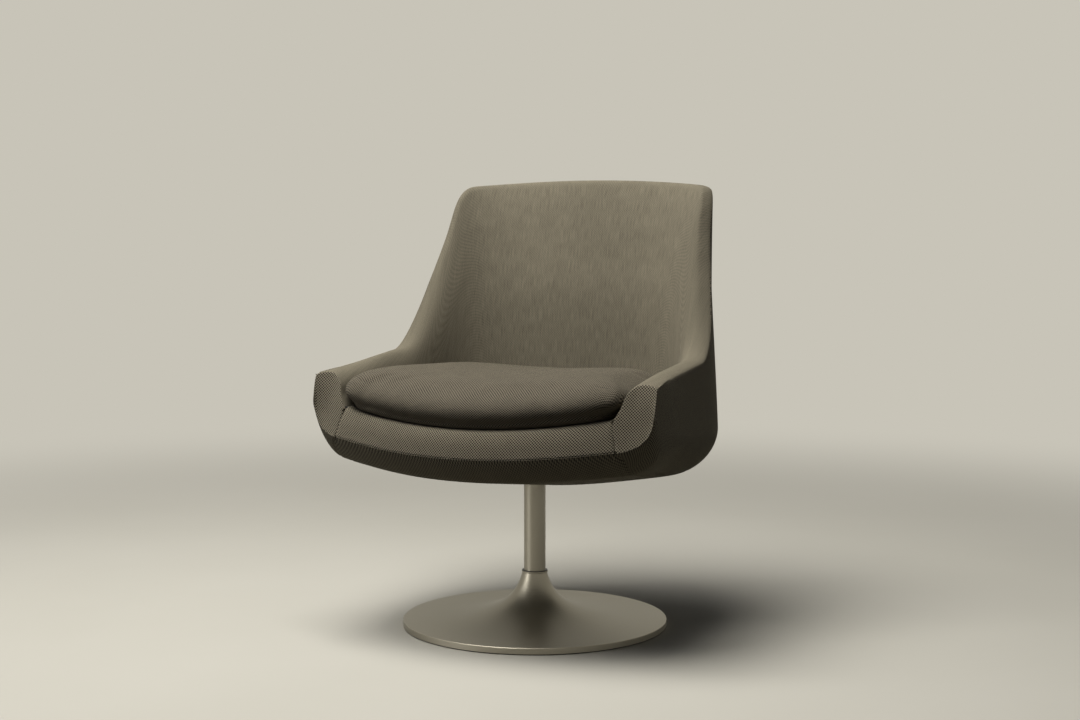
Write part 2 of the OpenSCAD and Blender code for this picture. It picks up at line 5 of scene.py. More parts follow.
import bpy
import numpy as np
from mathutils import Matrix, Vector


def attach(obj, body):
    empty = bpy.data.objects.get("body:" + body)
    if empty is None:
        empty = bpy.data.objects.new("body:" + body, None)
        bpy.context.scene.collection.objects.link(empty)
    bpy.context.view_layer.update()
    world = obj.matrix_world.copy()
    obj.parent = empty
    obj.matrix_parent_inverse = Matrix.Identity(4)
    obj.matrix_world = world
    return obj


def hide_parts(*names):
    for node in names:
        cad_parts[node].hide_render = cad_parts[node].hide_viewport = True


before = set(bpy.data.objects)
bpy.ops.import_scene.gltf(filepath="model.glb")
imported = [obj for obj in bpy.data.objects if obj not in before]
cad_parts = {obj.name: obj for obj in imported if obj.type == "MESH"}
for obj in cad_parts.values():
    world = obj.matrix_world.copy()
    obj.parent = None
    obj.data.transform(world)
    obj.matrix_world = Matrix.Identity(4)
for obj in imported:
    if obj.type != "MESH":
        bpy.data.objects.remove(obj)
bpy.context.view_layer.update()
MM = 0.001

# Sizes, as in the part's source
TUB_HALF_W, TUB_REAR, OUTLINE_POW = 326.0, 280.0, 2.8
BOW_FRONT, BOW_SETBACK, FACE_LEAN = 322.0, 81.0, 0.3
BELLY_Z, FRONT_RISE, REAR_RISE, SIDE_RISE = 262.0, 48.0, 30.0, 39.0
SIDE_ROUND, LIP_ROUND, LIP_FULL = 62.0, 38.0, 1.3
ARM_TIP_Z, ARM_RISE, RAKE_Y, RAKE_Z, RAKE_SLOPE = 474.0, 20.0, 134.0, 614.0, 2.17
ELBOW_BLEND, CORNER_BLEND, BACK_TOP_Z, TOP_CROWN, BACK_LEAN = 120.0, 60.0, 811.0, 13.0, 18.0
FRONT_BLEND, RIM_INSET, RIM_IN, RIM_POW, RIM_POW_TOP = 120.0, 9.0, 13.0, 2.6, 0.75
RIM_FLAT, RIM_ROUND, RIM_CROWN, BACK_RIM_SHARE = 22.0, 32.0, 8.0, 0.78
WELL_HALF_W, WELL_REAR, DECK_Z, DECK_SIDE_RISE, DECK_FALL = 256.0, 178.0, 398.0, 26.0, 20.0
RAIL_DEPTH, RAIL_HALF = 40.0, 268.0
CUSHION_HALF_W, CUSHION_NOSE, CUSHION_OVERHANG, CUSHION_CORNER = 262.0, 52.0, 8.0, 40.0
CUSHION_TAPER, CUSHION_GAP, CUSHION_BORDER, CUSHION_CROWN, CUSHION_FULL = 8.0, 3.0, 44.0, 43.0, 5.0
COVER_HOLE = 21.5
RIM_HALF_W = TUB_HALF_W - RIM_INSET
TIP_X = TUB_HALF_W - 2
CORNER_Y = -BOW_FRONT + BOW_SETBACK
LEAN_Z = 1.055 * ARM_TIP_Z
RIM_ROLL, WALL_POW, TIP_SHEAR, TOP_CROWN_REACH = 1.12, 1.12, 0.93, 0.77

# Soft forms and cloth that only the looks have
FRONT_FULL, FULL_FROM, FULL_OVER = 2.8, -210, 110
KEEL_EASE, KEEL_REACH = 80.0, 220
TIP_CROWN, TIP_CROWN_OVER = 0.65, 190
TIP_OUT, TIP_AHEAD = 4.0, 9.0
BACK_CURVE, BACK_CURVE_REACH = 0.9, 50
BEND, BEND_Z, BEND_ABOVE, BEND_BELOW = 4.0, 605.0, 60, 200
SEAM_IN, SEAM_TIP_Y, SEAM_TIP_OVER = 45.0, -238.0, 20
PAD_FOOT = 4
COVER_THICK, RAIL_THICK, DECKING_THICK = 2.5, 3.0, 1.5


# Form of the tub
def clamp(x):
    return np.clip(x, 0.0, 1.0)


def lerp(a, b, t):
    return a + (b - a) * t


def smooth(t):
    t = clamp(t)
    return t * t * (3 - 2 * t)


def smax(a, b, k):
    return np.maximum(a, b) + (np.maximum(k - np.abs(a - b), 0) / k) ** 2 * k / 4


def smin(a, b, k):
    return -smax(-a, -b, k)


def bow(x):
    """Depth of the tub's front edge."""
    return -BOW_FRONT + BOW_SETBACK * (x / TUB_HALF_W) ** 2


def turn(e, r, n=2.0):
    """How far an edge rounded with radius r turns away at e in from it."""
    return r * (1 - (1 - clamp((r - e) / r) ** n) ** (1 / n))


def squared(a, b, n, q):
    """Point at angle q, in degrees, of a squared ellipse."""
    c, s = max(math.cos(math.radians(q)), 0), max(math.sin(math.radians(q)), 0)
    return np.array([a * c ** (2 / n), b * s ** (2 / n)])


def under(x, y):
    """Height of the tub's underside."""
    x, y = np.asarray(x, float), np.asarray(y, float)
    rear = (np.abs(x / TUB_HALF_W) ** OUTLINE_POW + np.abs(y / TUB_REAR) ** OUTLINE_POW) ** (1 / OUTLINE_POW)
    inside = np.maximum(np.hypot(x, y) * (1 / np.maximum(rear, 1e-6) - 1), 0)
    side = np.where(y <= 0, TUB_HALF_W - np.abs(x), inside)
    front = np.maximum(y - bow(x), 0)
    ease = KEEL_EASE * smooth(np.abs(x) / KEEL_REACH)
    z = (BELLY_Z + FRONT_RISE * (np.hypot(y, ease) - y) / (2 * BOW_FRONT)
         + REAR_RISE * (np.maximum(y, 0) / TUB_REAR) ** 2)
    full = lerp(FRONT_FULL, 2.0, smooth((y - FULL_FROM) / FULL_OVER))
    return z + SIDE_RISE * (x / TUB_HALF_W) ** 2 + turn(side, SIDE_ROUND, full) + turn(front, LIP_ROUND, LIP_FULL)


TIP_SET = FACE_LEAN * (ARM_TIP_Z - float(under(TIP_X, bow(TIP_X))))


def rim_z(y, x):
    """Height of the rim seam."""
    tip_y = CORNER_Y + TIP_SET
    arm = ARM_TIP_Z + ARM_RISE * (y - tip_y) / -tip_y
    rake = RAKE_Z + RAKE_SLOPE * (y - RAKE_Y)
    top = BACK_TOP_Z + TOP_CROWN * (1 - clamp(abs(x) / (TOP_CROWN_REACH * TUB_HALF_W)) ** 2)
    return smin(smax(arm, rake, ELBOW_BLEND), top, CORNER_BLEND)


def front_face(x, z):
    """Depth of the leaning front face at a point of it."""
    return bow(x) + FACE_LEAN * np.maximum(z - under(x, bow(x)), 0)


def fade(y):
    """1 at the arm's tip, 0 behind it."""
    return 1 - clamp((y - CORNER_Y) / FRONT_BLEND)


def rim(kind, v):
    """Point of the rim seam: kind 1 lies along the arm at depth v, kind 2 round the back at angle v."""
    if kind == 1:
        f = fade(v)
        x, y = lerp(RIM_HALF_W, TIP_X, f), v + TIP_SET * f
        return np.array([x, y, rim_z(y, x)])
    z = BACK_TOP_Z
    for _ in range(7):
        w = clamp((z - LEAN_Z) / (BACK_TOP_Z - LEAN_Z)) ** 4
        p = squared(RIM_HALF_W, TUB_REAR - RIM_IN + (BACK_LEAN + RIM_IN) * w, RIM_POW + RIM_POW_TOP * w, v)
        z = float(rim_z(p[1], p[0]))
    return np.array([p[0], p[1], z])


def across(kind, v, p):
    """Direction in plan from the rim seam towards the seat."""
    if kind == 1:
        return np.array([-1, -TIP_SHEAR * FACE_LEAN * fade(v)])
    q = np.array([p[0] / RIM_HALF_W ** 2, p[1] / (TUB_REAR + BACK_LEAN) ** 2])
    return -q / np.linalg.norm(q)


def deck(x, y):
    """Height of the padded deck below the cushion."""
    return (DECK_Z + DECK_SIDE_RISE * (x / WELL_HALF_W) ** 2
            - DECK_FALL * (y + BOW_FRONT) / (BOW_FRONT + WELL_REAR))


ARM_TOE_Y = bow(RAIL_HALF) + FACE_LEAN * 55


def pad_profile(kind, v):
    """Section of the padded arms and back, from the rim seam over the top and down to the deck."""
    r = rim(kind, v)
    m = np.array([*across(kind, v, r), 0])
    k = lerp(1, BACK_RIM_SHARE, v / 90) if kind == 2 else 1.0
    crown, flat, rnd = RIM_CROWN * k ** 4, RIM_FLAT * k, RIM_ROUND * k
    if kind == 1:
        crown *= lerp(TIP_CROWN, 1.0, float(smooth((v - CORNER_Y) / TIP_CROWN_OVER)))
        toe = np.array([WELL_HALF_W, lerp(ARM_TOE_Y, 0, clamp((v - CORNER_Y) / -CORNER_Y))])
    else:
        toe = squared(WELL_HALF_W, WELL_REAR, RIM_POW, v)
    toe = np.array([*toe, float(deck(*toe)) - PAD_FOOT])
    up = np.array([0, 0, 1.0])
    g = np.linspace(0, 1, 16)[:-1, None]
    top = r + m * flat * g + up * crown * (1 - (1 - g) ** 2)
    a = np.radians(np.linspace(0, 90, 30))[:, None]
    over = r + m * (flat + rnd * np.sin(a)) + up * (crown - rnd * RIM_ROLL * (1 - np.cos(a)))
    w = np.linspace(0, 1, 40)[1:, None]
    u = w ** WALL_POW
    if kind == 2:
        u = lerp(u, w + BACK_CURVE * w * (1 - w), float(smooth(v / BACK_CURVE_REACH)))
    return np.concatenate([top, over, over[-1] + (toe - over[-1]) * np.concatenate([u, u, w], 1)])


# Mesh helpers
def resample(line, shares):
    """Points of a polyline at the given shares of its length."""
    d = np.r_[0, np.cumsum(np.linalg.norm(np.diff(line, axis=0), axis=1))]
    return np.stack([np.interp(np.asarray(shares) * d[-1], d, line[:, k]) for k in range(line.shape[1])], 1)


def arc(grid, axis):
    """Length along the rows or columns of a grid of points."""
    d = np.linalg.norm(np.diff(grid, axis=axis), axis=2)
    pad = [(0, 0), (0, 0)]
    pad[axis] = (1, 0)
    return np.pad(np.cumsum(d, axis=axis), pad)


def smoothed(a, times):
    """Evens out a grid along its first axis, its ends held."""
    for _ in range(times):
        a[1:-1] += 0.5 * (0.5 * (a[:-2] + a[2:]) - a[1:-1])
    return a


def numbered(grid):
    """Numbers for a grid's points, in its shape."""
    return np.arange(grid.shape[0] * grid.shape[1]).reshape(grid.shape[:2])


def faces_of(idx, closed=False):
    b = np.roll(idx, -1, 0) if closed else idx[1:]
    a = idx if closed else idx[:-1]
    return np.stack([a[:, :-1], b[:, :-1], b[:, 1:], a[:, 1:]], -1).reshape(-1, 4)


def corner_uv(uv, closed=False):
    """The four corners' pairs of each quad, in the order of faces_of."""
    a, b = uv[:-1], uv[1:]
    out = np.stack([a[:, :-1], b[:, :-1], b[:, 1:], a[:, 1:]], 2).reshape(-1, 4, 2)
    return np.concatenate([out, corner_uv(uv[[-1, 0]])]) if closed else out


def edges_of(f):
    """The four sides of each quad, of its numbers or of its pairs."""
    return np.concatenate([f[:, [0, 1]], f[:, [1, 2]], f[:, [2, 3]], f[:, [3, 0]]])


def point_normals(v, f):
    n = np.cross(v[f[:, 2]] - v[f[:, 0]], v[f[:, 3]] - v[f[:, 1]])
    out = np.zeros_like(v)
    for k in range(4):
        np.add.at(out, f[:, k], n)
    return out / np.maximum(np.linalg.norm(out, axis=1, keepdims=True), 1e-9)


def relax(v, f, weight, times):
    """Moves each point towards the middle of its neighbours by its weight."""
    e = np.unique(np.sort(edges_of(f), axis=1), axis=0)
    e = e[e[:, 0] != e[:, 1]]
    n = np.zeros(len(v))
    np.add.at(n, e.ravel(), 1)
    n = np.maximum(n, 1)[:, None]
    w = weight[:, None]
    for _ in range(times):
        s = np.zeros_like(v)
        np.add.at(s, e[:, 0], v[e[:, 1]])
        np.add.at(s, e[:, 1], v[e[:, 0]])
        v = v + (s / n - v) * w
    return v


def line_distance(points, line):
    """Distance of each point to a dense polyline, and the place along it, both in millimetres."""
    best, where = np.full(len(points), 1e9), np.zeros(len(points))
    along = np.r_[0, np.cumsum(np.linalg.norm(np.diff(line, axis=0), axis=1))]
    near = np.where(((points > line.min(0) - 15) & (points < line.max(0) + 15)).all(1))[0]
    for k in range(0, len(near), 4000):
        i = near[k:k + 4000]
        a, b = line[:-1][None], line[1:][None]
        d = b - a
        t = clamp(((points[i, None] - a) * d).sum(2) / np.maximum((d * d).sum(2), 1e-9))
        gap = np.linalg.norm(points[i, None] - a - t[..., None] * d, axis=2)
        best[i], where[i] = gap.min(1), along[gap.argmin(1)]
    return best, where


def waves(t, seed, lengths):
    """A smooth wandering value from -1 to 1."""
    rng = np.random.default_rng(seed)
    return sum(np.sin(2 * np.pi * np.asarray(t) / s + rng.uniform(0, 6.28)) for s in lengths) / len(lengths)


def groove(points, normals, line, depth, width, seed, swell=0.5):
    """How far the points near a seam move along their normals: a tuck with soft shoulders and slight puckers."""
    d, s = line_distance(points, line)
    pucker = waves(s, seed, [17.0, 11.3, 26.0])
    tuck = -depth * np.exp(-(d / width) ** 2)
    shoulder = swell * (1 + 0.6 * pucker) * np.exp(-((d - 2.9 * width) / (1.7 * width)) ** 2)
    return normals * (tuck + shoulder * (d < 60))[:, None]


def second_skin(v, f, uv, thick):
    """Adds a skin behind the first and closes the borders. Gives the edges along both borders too."""
    n = len(v)
    e, euv = edges_of(f), edges_of(uv)
    key = np.sort(e, 1)
    _, first, count = np.unique(key, axis=0, return_index=True, return_counts=True)
    border = first[(count == 1) & (key[first, 0] != key[first, 1])]
    e, euv = e[border], euv[border]
    behind = [0, thick * MM]
    strip = np.stack([e[:, 1], e[:, 0], e[:, 0] + n, e[:, 1] + n], 1)
    strip_uv = np.stack([euv[:, 1], euv[:, 0], euv[:, 0] + behind, euv[:, 1] + behind], 1)
    return (np.concatenate([v, v - point_normals(v, f) * thick]), np.concatenate([f, f[:, ::-1] + n, strip]),
            np.concatenate([uv, uv[:, ::-1], strip_uv]), [e, e + n])


def make_piece(name, v, f, uv=None, thick=0.0, crisp=()):
    """A smooth object from quads in millimetres, with a second skin thick millimetres behind the first and closed
    borders. The borders, and the lines of points in crisp, shade as edges."""
    if uv is None:
        uv = np.zeros((len(f), 4, 2))
    used, f = np.unique(f, return_inverse=True)
    f = f.reshape(-1, 4)
    v = v[used]
    edges = [np.searchsorted(used, np.stack([line[:-1], line[1:]], 1)) for line in crisp]
    if thick:
        v, f, uv, borders = second_skin(v, f, uv, thick)
        edges += borders
    me = bpy.data.meshes.new(name)
    polys, loops = [], []
    for q, u in zip(f.tolist(), uv.tolist()):
        if len(set(q)) < 3:
            continue
        pick = [j for j in range(4) if q[j] != q[j - 1]]
        polys.append([q[j] for j in pick])
        loops += [u[j] for j in pick]
    me.from_pydata((v * MM).tolist(), [], polys)
    me.uv_layers.new(name="weave").uv.foreach_set("vector", np.asarray(loops, np.float32).ravel())
    me.polygons.foreach_set("use_smooth", np.ones(len(polys), bool))
    if edges:
        pairs = np.empty(len(me.edges) * 2, np.int64)
        me.edges.foreach_get("vertices", pairs)
        pairs = np.sort(pairs.reshape(-1, 2), 1) @ [len(v), 1]
        wanted = np.sort(np.concatenate(edges), 1) @ [len(v), 1]
        me.attributes.new("sharp_edge", "BOOLEAN", "EDGE").data.foreach_set("value", np.isin(pairs, wanted))
    ob = bpy.data.objects.new(name, me)
    bpy.context.scene.collection.objects.link(ob)
    return ob


def points_of(me):
    """A mesh's points, in its own metres."""
    out = np.empty(len(me.vertices) * 3)
    me.vertices.foreach_get("co", out)
    return out.reshape(-1, 3)


def evaluated(ob):
    return ob.evaluated_get(bpy.context.evaluated_depsgraph_get())


def mirrored(cols):
    """Columns of the right half followed by their mirror images."""
    return np.concatenate([cols, cols[:-1][::-1] * [-1, 1, 1]])


# The tub's two skins as one net of points, so that they meet exactly along their seams
N_WING, N_ROW_BELLY, N_WALL, N_BOTTOM = 44, 24, 56, 34
EVEN_TIMES, SOFTEN_TIMES = 260, 9
SHARE_IN = np.array([0.35 * t + 0.65 * t ** 2.2 for t in np.linspace(0, 1, N_WING + 1)])
ARM_V = np.concatenate([CORNER_Y + np.array([0, 2, 4, 6.2, 8.6, 11.2, 14, 17.2, 21, 25.5]),
                        np.linspace(CORNER_Y + 31, 0, 42)])
STATIONS = [(1, v) for v in ARM_V] + [(2, q) for q in np.linspace(0, 90, 100)[1:]]
# the belly seam under the arm front in plan, from the end of the front crease
TIP_SEAM = np.array([[RAIL_HALF, bow(RAIL_HALF)], [270.5, -266.0], [275.5, -262.0], [279.5, -253.0],
                     [TUB_HALF_W - SEAM_IN, SEAM_TIP_Y]])


def tip_profile():
    """Section of the arm at its leaning front."""
    tip = pad_profile(1, CORNER_Y)
    tip[:, 1] = front_face(tip[:, 0], tip[:, 2])
    return resample(tip, SHARE_IN)


def outer_skin(tip):
    """Columns of rows from the belly seam to the belt, then up the wall."""
    wing_x = np.linspace(RAIL_HALF, TUB_HALF_W, N_WING + 1)[:-1]
    low = list(resample(TIP_SEAM, np.linspace(0, 1, N_WING + 1))[:-1])
    belt, top = list(np.stack([wing_x, bow(wing_x)], 1)), list(tip[:0:-1])
    for kind, v in STATIONS:
        if kind == 1:
            y = v
            if v < CORNER_Y + SEAM_TIP_OVER:
                y = lerp(SEAM_TIP_Y, v, smooth((v - CORNER_Y) / SEAM_TIP_OVER))
            low.append(np.array([TUB_HALF_W - SEAM_IN, y]))
            belt.append(np.array([TUB_HALF_W, v]))
        else:
            low.append(squared(TUB_HALF_W - SEAM_IN, TUB_REAR - SEAM_IN, OUTLINE_POW, v))
            belt.append(squared(TUB_HALF_W, TUB_REAR, OUTLINE_POW, v))
        top.append(rim(kind, v))
    low, belt, top = np.array(low), np.array(belt), np.array(top)

    g = np.linspace(0, 1, N_ROW_BELLY + 1)
    g = 1 - (1 - g) ** 2.2
    plan = low[:, None] + (belt - low)[:, None] * g[None, :, None]
    belly = np.concatenate([plan, under(plan[..., 0], plan[..., 1])[..., None]], 2)
    t = np.linspace(0, 1, N_WALL + 1)[1:]
    t = np.where(t > 0.5, 1 - (1 - t) * (0.3 + 1.4 * (1 - t)), t * (0.3 + 1.4 * t))
    walls = []
    for j, b in enumerate(belly[:, -1]):
        if j < N_WING:
            x, z = lerp(b[0], top[j, 0], t), lerp(b[2], top[j, 2], t)
            walls.append(np.stack([x, front_face(x, z), z], 1))
            continue
        kind, v = STATIONS[j - N_WING]
        u = t ** (1 + 0.8 * v / 90) if kind == 2 else t
        walls.append(np.stack([lerp(b[0], top[j, 0], u), lerp(b[1], top[j, 1], u), lerp(b[2], top[j, 2], t)], 1))
    return mirrored(np.concatenate([belly, np.array(walls)], 1))


def bottom_panel(skin):
    """The crease along the front, and rows from the panel's whole border in to the hole for the column."""
    front_x = np.linspace(-RAIL_HALF, RAIL_HALF, 109)[1:-1]
    front = np.stack([front_x, bow(front_x)], 1)
    edge = np.concatenate([skin[:, 0, :2], front])
    reach = np.linalg.norm(edge, axis=1, keepdims=True)
    g = np.linspace(0, 1, N_BOTTOM)[:-1]
    g = 1 - (1 - g) * (0.25 + 0.75 * (1 - g))
    plan = edge[:, None] * (COVER_HOLE / reach + (1 - COVER_HOLE / reach) * g[None])[..., None]
    bottom = np.concatenate([plan, under(plan[..., 0], plan[..., 1])[..., None]], 2)
    return np.concatenate([front, under(front[:, 0], front[:, 1])[:, None]], 1), bottom


def inner_pad(tip):
    """The padded inside of the arms and back."""
    inner = np.array([resample(pad_profile(k, v), SHARE_IN) for k, v in STATIONS])
    first = inner[0].copy()
    for j, share in enumerate(smooth(1 - (ARM_V - CORNER_Y) / 46)):
        inner[j] += (tip - first) * share
    inner = mirrored(inner)

    # the padding softens all its hollows, most in the back's corners, and holds its edges
    reach = arc(inner, 1)
    hold = smooth((reach - 24) / 44) * smooth((reach[:, -1:] - reach) / 60)
    along = np.array([smooth((v + 170) / 150) if k == 1 else 1.0 for k, v in STATIONS])
    hold *= np.concatenate([along, along[:-1][::-1]])[:, None]
    for _ in range(EVEN_TIMES):
        middle = 0.25 * (inner[:-2, 1:-1] + inner[2:, 1:-1] + inner[1:-1, :-2] + inner[1:-1, 2:])
        inner[1:-1, 1:-1] += (middle - inner[1:-1, 1:-1]) * hold[1:-1, 1:-1, None] * 0.9

    # the back's padding bends where its upright lower part meets the leaning upper part
    up = inner[..., 2] - BEND_Z
    bend = np.where(up > 0, np.exp(-(up / BEND_ABOVE) ** 2), 0.5 * (1 + np.cos(np.pi * clamp(-up / BEND_BELOW))))
    bend *= smooth((inner[..., 1] - 60) / 90) * smooth((250 - np.abs(inner[..., 0])) / 110)
    inner[..., 1] -= BEND * bend
    return inner


def chair_tub():
    """All points, and the grids of their numbers: skin, bottom, inside and front crease."""
    tip = tip_profile()
    skin = outer_skin(tip)
    front, bottom = bottom_panel(skin)
    inner = inner_pad(tip)
    n_skin, n_bot = skin.shape[0] * skin.shape[1], bottom.shape[0] * bottom.shape[1]
    i_skin, i_bot = numbered(skin), n_skin + numbered(bottom)
    front_edge = n_skin + n_bot + np.arange(len(front))
    i_bot = np.concatenate([i_bot, np.concatenate([i_skin[:, 0], front_edge])[:, None]], 1)
    i_in = n_skin + n_bot + len(front) + numbered(inner)
    i_in[:, 0] = i_skin[N_WING:len(skin) - N_WING, -1]
    i_in[0] = i_skin[:N_WING + 1, -1][::-1]
    i_in[-1] = i_skin[len(skin) - N_WING - 1:, -1]
    v = np.concatenate([skin.reshape(-1, 3), bottom.reshape(-1, 3), front, inner.reshape(-1, 3)])
    return v, i_skin, i_bot, i_in, front_edge


def tub_weave(v, i_skin, i_bot, i_in):
    """Pairs for the weave, in metres: along the outline and up the wall or pad."""
    n_col = len(i_skin)
    belt = v[i_skin[:, N_ROW_BELLY]]
    u_belt = np.r_[0, np.cumsum(np.linalg.norm(np.diff(belt[:, :2], axis=0), axis=1))]
    u_skin = np.repeat(u_belt[:, None], i_skin.shape[1], 1)
    h_skin = arc(v[i_skin], 1)
    h_skin = h_skin - h_skin[:, [N_ROW_BELLY]] + belt[:, [2]]
    for side, wing, ref in ((1, slice(0, N_WING + 1), N_WING),
                            (-1, slice(n_col - N_WING - 1, n_col), n_col - N_WING - 1)):
        face = v[i_skin[wing]][:, N_ROW_BELLY:]
        u_skin[wing, N_ROW_BELLY:] = u_belt[ref] + (side * face[..., 0] - TUB_HALF_W) * side * 1.02
        h_skin[wing, N_ROW_BELLY:] = face[..., 2]
    w_in = smoothed(arc(v[i_in], 1), 160)
    u_in = arc(v[i_in], 0)
    u_in = u_in - u_in[[len(u_in) // 2]]
    smoothed(u_in.T, 60)
    return (corner_uv(np.stack([u_skin, h_skin], 2) * MM), corner_uv(v[i_bot][..., :2] * MM, True),
            corner_uv(np.stack([u_in, w_in], 2) * MM))


pts, i_skin, i_bot, i_in, i_front = chair_tub()
f_skin, f_bot, f_in = faces_of(i_skin), faces_of(i_bot, True), faces_of(i_in)
net = np.concatenate([f_skin, f_bot, f_in])
uv_skin, uv_bot, uv_in = tub_weave(pts, i_skin, i_bot, i_in)
n_col = len(i_skin)

# the outer corners of the arm tips stand a little fuller than the leaning face
full = (smooth((np.abs(pts[:, 0]) - 285) / 38) * smooth((pts[:, 2] - 395) / 75)
        * smooth((CORNER_Y + TIP_SET + 150 - pts[:, 1]) / 150))
pts[:, :2] += np.stack([np.sign(pts[:, 0]) * TIP_OUT, np.full(len(pts), -TIP_AHEAD)], 1) * full[:, None]

# soften the corners of the arm fronts: line, width and amount
soft_lines = ((pts[i_skin[N_WING, N_ROW_BELLY:]], 6.0, 0.45), (pts[i_skin[:N_WING + 1, N_ROW_BELLY]], 13.0, 0.5),
              (pts[i_skin[:N_WING + 1, -1]], 9.0, 0.5))
weight = np.zeros(len(pts))
for sx in (1, -1):
    for line, width, amount in soft_lines:
        d, _ = line_distance(pts, line * [sx, 1, 1])
        weight = np.maximum(weight, amount * smooth((width * 1.7 - d) / width))
weight[i_skin[N_WING + 6:n_col - N_WING - 6, -1]] *= 0.3
for held in (i_skin[0], i_skin[-1], i_front, i_in[:, -1]):
    weight[held] = 0
pts = relax(pts, net, weight, SOFTEN_TIMES)

# seams: line, depth, width, seed and swell
normals = point_normals(pts, net)
top_seam = pts[i_skin[:, -1]]
crease = pts[np.r_[i_skin[-1, 0], i_front, i_skin[0, 0]]]
move = np.zeros_like(pts)
for line, *form in ((top_seam[N_WING:n_col - N_WING], 0.8, 2.2, 3, 0.1),
                    (top_seam[:N_WING + 1], 0.3, 1.8, 4, 0.0),
                    (top_seam[n_col - N_WING - 1:], 0.3, 1.8, 5, 0.0),
                    (pts[i_skin[:, 0]], 1.8, 2.0, 6, 0.25),
                    (crease, 0.4, 2.2, 7, 0.0),
                    (pts[i_skin[0]], 2.0, 1.5, 8, 0.1),
                    (pts[i_skin[-1]], 2.0, 1.5, 7, 0.1)):
    move += groove(pts, normals, line, *form)
pts = pts + move

tub_cover = make_piece("tub_cover", pts, np.concatenate([f_skin, f_bot]), np.concatenate([uv_skin, uv_bot]),
                       COVER_THICK)
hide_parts("outer_cover", "wing_pad_left", "wing_pad_right", "tub_shell")
inner_cover = make_piece("inner_pad_cover", pts, f_in, uv_in, COVER_THICK)
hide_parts("inner_cover", "inner_foam")

# The padded front rail between the arm fronts
# section of its face: share of the lean and share of the height
RAIL_SECTION = np.array([[0, 0], [0.13, 0.25], [0.3, 0.5], [0.52, 0.7], [0.75, 0.85], [0.95, 0.94], [1.25, 0.985],
                         [1.6, 1.01], [2.3, 1.0]])
RAIL_TOP_HALF = WELL_HALF_W - 0.5


def rail_net():
    """Columns of two hidden rows behind the lower edge, then the face up to the deck."""
    xs = (RAIL_HALF * np.sin(np.radians(np.linspace(-90, 90, 121))) * 0.25
          + RAIL_HALF * np.linspace(-1, 1, 121) * 0.75)
    lean, rise = RAIL_SECTION.T
    cols = []
    for x in xs:
        y0, z0 = float(bow(x)), float(under(x, bow(x)))
        h = float(deck(x * RAIL_TOP_HALF / RAIL_HALF, y0 + RAIL_DEPTH)) - z0
        line = np.stack([x * (1 - (1 - RAIL_TOP_HALF / RAIL_HALF) * np.minimum(rise, 1)),
                         y0 + FACE_LEAN * h * lean, z0 + h * rise], 1)
        hidden = np.array([[x, y0 + 9.0, z0 + 7], [x, y0 + 3.5, z0 + 1.5]])
        cols.append(np.concatenate([hidden, resample(line, np.linspace(0, 1, 40) ** 1.15)]))
    return np.array(cols)


rail = rail_net()
smoothed(np.swapaxes(rail[:, 2:], 0, 1), 6)
i_rail = numbered(rail)
rail_pts, rail_f = rail.reshape(-1, 3).copy(), faces_of(i_rail)
rail_n = point_normals(rail_pts, rail_f)
for line, *form in ((rail[:, 2], 0.3, 2.0, 21), (rail[0, 2:], 2.0, 1.8, 22), (rail[-1, 2:], 2.0, 1.8, 23)):
    rail_pts = rail_pts + groove(rail.reshape(-1, 3), rail_n, line, *form, 0.15)
rail_uv = corner_uv(np.stack([rail[..., 0], arc(rail, 1)], 2) * MM)
front_rail = make_piece("front_rail_pad", rail_pts, rail_f, rail_uv, RAIL_THICK, [i_rail[:, 2]])
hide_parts("front_rail")


# Decking cloth under the cushion
def decking_net():
    """Rings from the border in towards the middle."""
    half = np.array([[WELL_HALF_W + 2, y] for y in np.linspace(ARM_TOE_Y, 0, 24)]
                    + [list(squared(WELL_HALF_W + 2, WELL_REAR + 2, RIM_POW, q)) for q in np.linspace(0, 90, 40)[1:]])
    front = [[x, bow(x) + RAIL_DEPTH - 10] for x in np.linspace(-250, 250, 81)]
    edge = np.concatenate([half, half[:-1][::-1] * [-1, 1], front])
    plan = edge[:, None] * np.linspace(1, 0.04, 20)[None, :, None]
    return np.concatenate([plan, deck(plan[..., 0], plan[..., 1])[..., None] - DECKING_THICK], 2)


cloth = decking_net()
decking = make_piece("decking_cloth", cloth.reshape(-1, 3), faces_of(numbered(cloth), True),
                     corner_uv(cloth[..., :2] * MM, True), DECKING_THICK)
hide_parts("deck_foam")

# Seat cushion
# rows of its underside: share of the edge, height in borders
LOW_ROWS = ((0.0, 0.0), (0.3, 0.0), (0.6, 0.0), (0.82, 0.0), (0.9, 0.0), (0.945, 0.01), (0.965, 0.05), (0.98, 0.14),
            (0.99, 0.27), (0.997, 0.42), (1.0, 0.58))
TOP_SHARES = np.concatenate([[0.998, 0.992, 0.982, 0.968, 0.95, 0.928, 0.9], np.linspace(0.87, 0, 30)])
EDGE_ROWS = slice(4, 21)
# how much slimmer it is drawn before the simulation fills it
SLACK = 3.0
# simulation: size of the even mesh's cells, pressure, frames, most that a point moves, height that is pinned
VOXEL, PRESSURE, FRAMES, MOST_MOVE, PINNED = 0.006, 4.0, 20, 5.0, 5
FRONT_MORE, CORNER_FILL, NOSE_R = 6.0, 9.0, 30.0
# folds from the corners: start x and y, run in x and y, width and depth
FOLDS = ((-252, -218, 58, 20, 3.4, 0.8), (-250, -226, 52, -4, 3.0, 0.9), (-246, -238, 46, -26, 3.2, 0.8),
         (-256, -206, 40, 38, 3.6, 0.6), (250, -222, -40, 22, 3.6, 0.4))


def cushion_front(x):
    """Depth of the cushion's front edge."""
    return bow(x) + FACE_LEAN * CUSHION_NOSE - CUSHION_OVERHANG + turn(CUSHION_HALF_W - x, CUSHION_CORNER)


